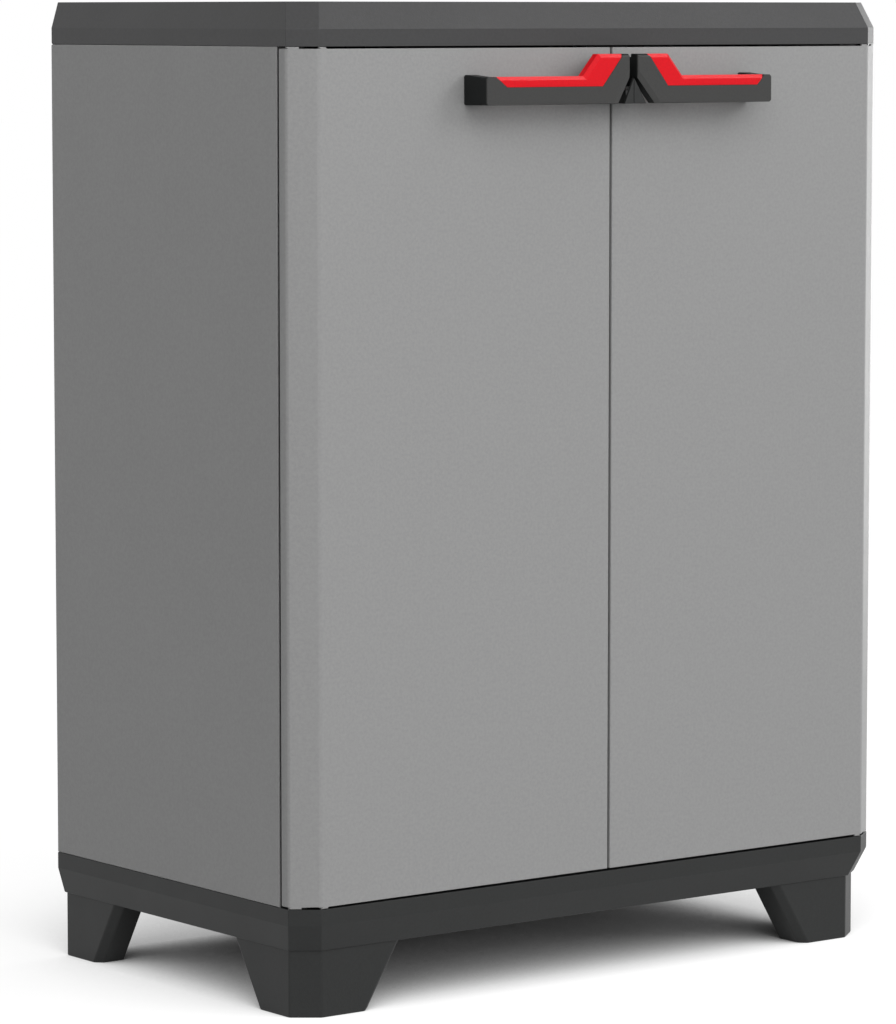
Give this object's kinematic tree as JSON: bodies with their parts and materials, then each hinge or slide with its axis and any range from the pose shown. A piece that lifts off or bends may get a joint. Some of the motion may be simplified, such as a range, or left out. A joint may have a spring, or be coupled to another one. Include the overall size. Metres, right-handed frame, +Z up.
{
  "type": "workshop base cabinet",
  "caption": "Low two-door resin workshop cabinet on feet, with cut front corners, a dark cap and base, pull handles with red inserts, an inner shelf and a padlock eye between the doors.",
  "frame": {"origin": "on the floor, under the centre of the outer box, handles included", "axes": "+Z up, -Y towards the door side, +X to the right of someone facing the doors"},
  "size_m": [0.68, 0.4234, 0.8895],
  "materials": {
    "panel_plastic": "fine moulded texture, mid grey",
    "cap_plastic": "fine moulded texture, dark grey",
    "base_plastic": "fine moulded texture, charcoal",
    "handle_plastic": "satin black",
    "cover_plastic": "satin dark grey",
    "insert_plastic": "satin red",
    "screw_steel": "zinc plated"
  },
  "bodies": {
    "carcass": {"top_cap": "cap_plastic", "base_frame": "base_plastic", "foot_front_left": "base_plastic", "foot_front_right": "base_plastic", "foot_back_left": "base_plastic", "foot_back_right": "base_plastic", "foot_screws": "screw_steel", "side_panel_left": "panel_plastic", "side_panel_right": "panel_plastic", "back_panel_left": "panel_plastic", "back_panel_right": "panel_plastic", "back_joiner": "base_plastic", "carcass_screws": "screw_steel", "shelf": "panel_plastic", "shelf_support_front_left": "base_plastic", "shelf_support_back_left": "base_plastic", "shelf_support_front_right": "base_plastic", "shelf_support_back_right": "base_plastic", "hinge_pin_lower_left": "handle_plastic", "hinge_pin_upper_left": "handle_plastic", "hinge_pin_lower_right": "handle_plastic", "hinge_pin_upper_right": "handle_plastic", "door_catch": "handle_plastic"},
    "door_left": {"door_panel_left": "panel_plastic", "handle_base_left": "handle_plastic", "handle_cover_left": "cover_plastic", "handle_insert_left": "insert_plastic", "lock_lug_left": "base_plastic", "handle_screws_left": "screw_steel", "catch_strike_left": "screw_steel"},
    "door_right": {"door_panel_right": "panel_plastic", "handle_base_right": "handle_plastic", "handle_cover_right": "cover_plastic", "handle_insert_right": "insert_plastic", "lock_lug_right": "base_plastic", "handle_screws_right": "screw_steel", "catch_strike_right": "screw_steel"}
  },
  "joints": [
    {"name": "left_door_hinge", "type": "hinge", "parent": "carcass", "child": "door_left", "pos_m": [-0.325, -0.1623, 0.475], "axis": [0, 0, -1], "range_deg": [0, 120]},
    {"name": "right_door_hinge", "type": "hinge", "parent": "carcass", "child": "door_right", "pos_m": [0.325, -0.1623, 0.475], "axis": [0, 0, 1], "range_deg": [0, 120]}
  ]
}
